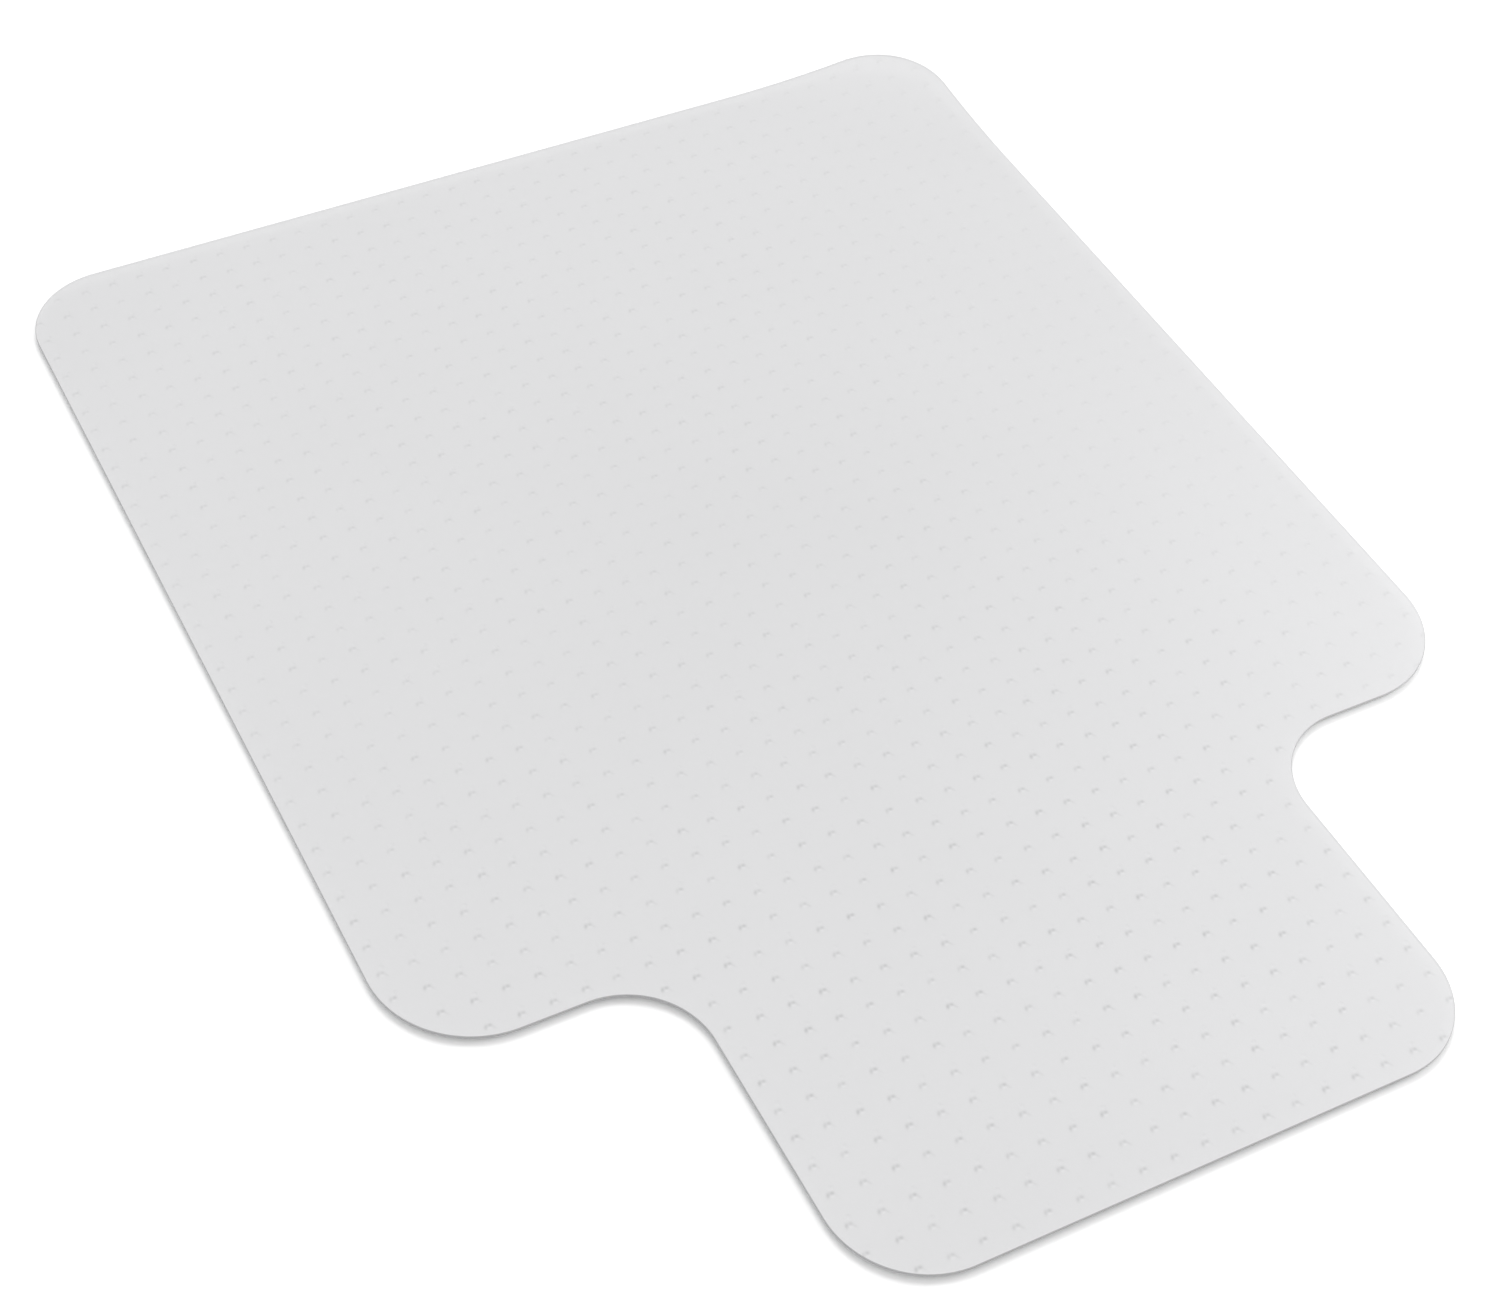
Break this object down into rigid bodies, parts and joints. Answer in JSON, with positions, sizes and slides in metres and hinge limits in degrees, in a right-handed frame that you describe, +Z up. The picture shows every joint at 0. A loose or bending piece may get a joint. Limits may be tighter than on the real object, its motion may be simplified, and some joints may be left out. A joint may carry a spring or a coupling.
{
  "type": "chair mat",
  "caption": "Translucent frosted plastic chair mat for carpet, with a lip that reaches under the desk, rounded corners and rows of pointed grip studs on its underside.",
  "frame": {"origin": "middle of the mat's outline, on the plane of the stud tips that the mat stands on", "axes": "+Z up through the sheet; -Y towards the lip, which goes under the desk; +X to the right seen from the lip's front edge towards the back"},
  "size_m": [0.9144, 1.2192, 0.006],
  "materials": {
    "frosted_sheet": "translucent frosted vinyl with a very fine matte grain",
    "clear_studs": "the same vinyl, smooth from the mould"
  },
  "bodies": {
    "root": {"mat_sheet": "frosted_sheet", "stud_row_01": "clear_studs", "stud_row_02": "clear_studs", "stud_row_03": "clear_studs", "stud_row_04": "clear_studs", "stud_row_05": "clear_studs", "stud_row_06": "clear_studs", "stud_row_07": "clear_studs", "stud_row_08": "clear_studs", "stud_row_09": "clear_studs", "stud_row_10": "clear_studs", "stud_row_11": "clear_studs", "stud_row_12": "clear_studs", "stud_row_13": "clear_studs", "stud_row_14": "clear_studs", "stud_row_15": "clear_studs", "stud_row_16": "clear_studs", "stud_row_17": "clear_studs", "stud_row_18": "clear_studs", "stud_row_19": "clear_studs", "stud_row_20": "clear_studs", "stud_row_21": "clear_studs", "stud_row_22": "clear_studs", "stud_row_23": "clear_studs", "stud_row_24": "clear_studs", "stud_row_25": "clear_studs", "stud_row_26": "clear_studs", "stud_row_27": "clear_studs", "stud_row_28": "clear_studs", "stud_row_29": "clear_studs", "stud_row_30": "clear_studs", "stud_row_31": "clear_studs", "stud_row_32": "clear_studs", "stud_row_33": "clear_studs", "stud_row_34": "clear_studs", "stud_row_35": "clear_studs", "stud_row_36": "clear_studs", "stud_row_37": "clear_studs", "stud_row_38": "clear_studs", "stud_row_39": "clear_studs", "stud_row_40": "clear_studs", "stud_row_41": "clear_studs", "stud_row_42": "clear_studs", "stud_row_43": "clear_studs", "stud_row_44": "clear_studs", "stud_row_45": "clear_studs", "stud_row_46": "clear_studs", "stud_row_47": "clear_studs", "stud_row_48": "clear_studs"}
  },
  "joints": []
}
